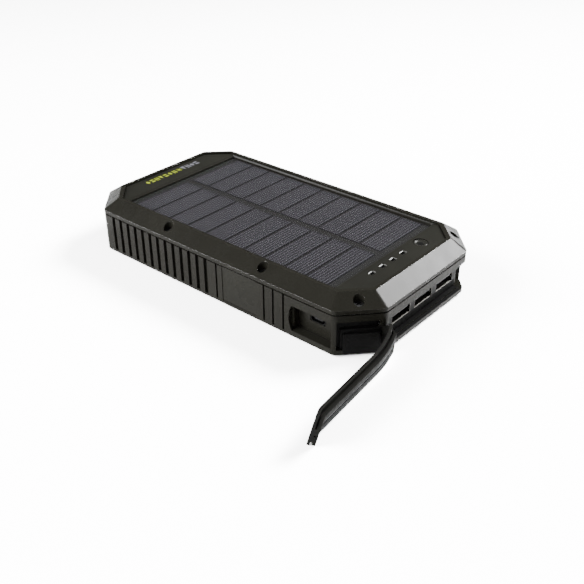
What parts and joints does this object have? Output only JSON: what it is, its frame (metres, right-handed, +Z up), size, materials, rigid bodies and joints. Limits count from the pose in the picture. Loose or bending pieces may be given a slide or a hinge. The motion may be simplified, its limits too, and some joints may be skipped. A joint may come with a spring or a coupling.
{
  "type": "solar power bank",
  "caption": "Rugged pocket power bank with a solar panel in its face, charge lamps, a power button, and a rubber cover swung off its USB sockets.",
  "frame": {"origin": "centre of the case's flat base", "axes": "+X along the case to the end with the USB-A sockets, -Y the long side with the micro-USB recess, +Z up out of the solar face"},
  "size_m": [0.1807, 0.1356, 0.0261],
  "materials": {
    "case_plastic": "fine satin texture",
    "seal_rubber": "matte",
    "screw_steel": "black-coated steel",
    "tray_plastic": "satin, very fine grain",
    "tape": "foam tape",
    "solar_board": "dark board",
    "solar_silicon": "polycrystalline silicon with fine collector lines",
    "solar_film": "clear resin",
    "lamp_lens": "clear light pipe",
    "board_green": "solder mask",
    "lamp_chip": "white body",
    "button_plastic": "satin",
    "switch_body": "moulded",
    "port_plastic": "satin",
    "contact_brass": "gold plated",
    "shell_steel": "nickel plated",
    "tongue_plastic": "moulded",
    "chip_black": "moulded",
    "ferrite": "pressed",
    "can_aluminium": "brushed",
    "pouch": "laminated foil",
    "foam": "closed-cell foam",
    "lead_red": "insulation",
    "cover_rubber": "matte moulded rubber"
  },
  "bodies": {
    "case": {"lower_shell": "case_plastic", "top_bezel": "case_plastic", "seal_ring": "seal_rubber", "case_screws": "screw_steel", "solar_tray": "tray_plastic", "solar_tape": "tape", "solar_board": "solar_board", "solar_cells": "solar_silicon", "solar_film": "solar_film", "lamp_lenses": "lamp_lens", "lamp_board": "board_green", "lamps": "lamp_chip", "lamp_cable": "solar_board", "switch_body": "switch_body", "port_plate": "port_plastic", "usb_contacts": "contact_brass", "micro_usb_shell": "shell_steel", "micro_usb_tongue": "tongue_plastic", "main_board": "board_green", "micro_board": "board_green", "board_screws": "screw_steel", "board_chips": "chip_black", "inductor": "ferrite", "capacitors": "can_aluminium", "battery_cell_lower": "pouch", "battery_cell_upper": "pouch", "battery_pads": "foam", "battery_leads": "lead_red", "solar_leads": "lead_red", "cover_root": "cover_rubber", "usb_shell_1": "shell_steel", "usb_tongue_1": "tongue_plastic", "usb_shell_2": "shell_steel", "usb_tongue_2": "tongue_plastic", "usb_shell_3": "shell_steel", "usb_tongue_3": "tongue_plastic"},
    "button": {"power_button": "button_plastic", "switch_plunger": "switch_body"},
    "neck_link": {"cover_neck_link": "cover_rubber"},
    "neck_strap": {"cover_neck_strap": "cover_rubber"},
    "strap": {"cover_strap": "cover_rubber"},
    "flap": {"cover_flap": "cover_rubber"},
    "tip": {"cover_tip": "cover_rubber"}
  },
  "joints": [
    {"name": "power_button_press", "type": "slide", "parent": "case", "child": "button", "axis": [0, 0, -1], "range_m": [0, 0.0005], "stiffness_N_per_m": 400, "springref_m": -0.0002},
    {"name": "cover_root_flex", "type": "hinge", "parent": "case", "child": "neck_link", "pos_m": [0.0816, -0.02955, 0.009], "axis": [0, 0, 1], "range_deg": [0, 80]},
    {"name": "cover_neck_flex", "type": "hinge", "parent": "neck_link", "child": "neck_strap", "pos_m": [0.0845, -0.02903, 0.009], "axis": [0, 0, 1], "range_deg": [0, 70]},
    {"name": "cover_strap_flex", "type": "hinge", "parent": "neck_strap", "child": "strap", "pos_m": [0.08583, -0.03254, 0.009], "axis": [0.0415, -0.5229, 0.8514], "range_deg": [0, 17.74]},
    {"name": "cover_flap_flex", "type": "hinge", "parent": "strap", "child": "flap", "pos_m": [0.08874, -0.04365, 0.00843], "axis": [0.1, -0.5424, 0.8342], "range_deg": [0, 12.2]},
    {"name": "cover_tip_flex", "type": "hinge", "parent": "flap", "child": "tip", "pos_m": [0.09171, -0.0848, 0.00647], "axis": [0.2709, -0.0262, 0.9623], "range_deg": [0, 22]}
  ],
  "couplings": [
    {"joint": "cover_neck_flex", "follows": "cover_root_flex", "ratio": 0.875},
    {"joint": "cover_strap_flex", "follows": "cover_root_flex", "ratio": 0.2217},
    {"joint": "cover_flap_flex", "follows": "cover_root_flex", "ratio": 0.15255},
    {"joint": "cover_tip_flex", "follows": "cover_root_flex", "ratio": 0.275}
  ]
}
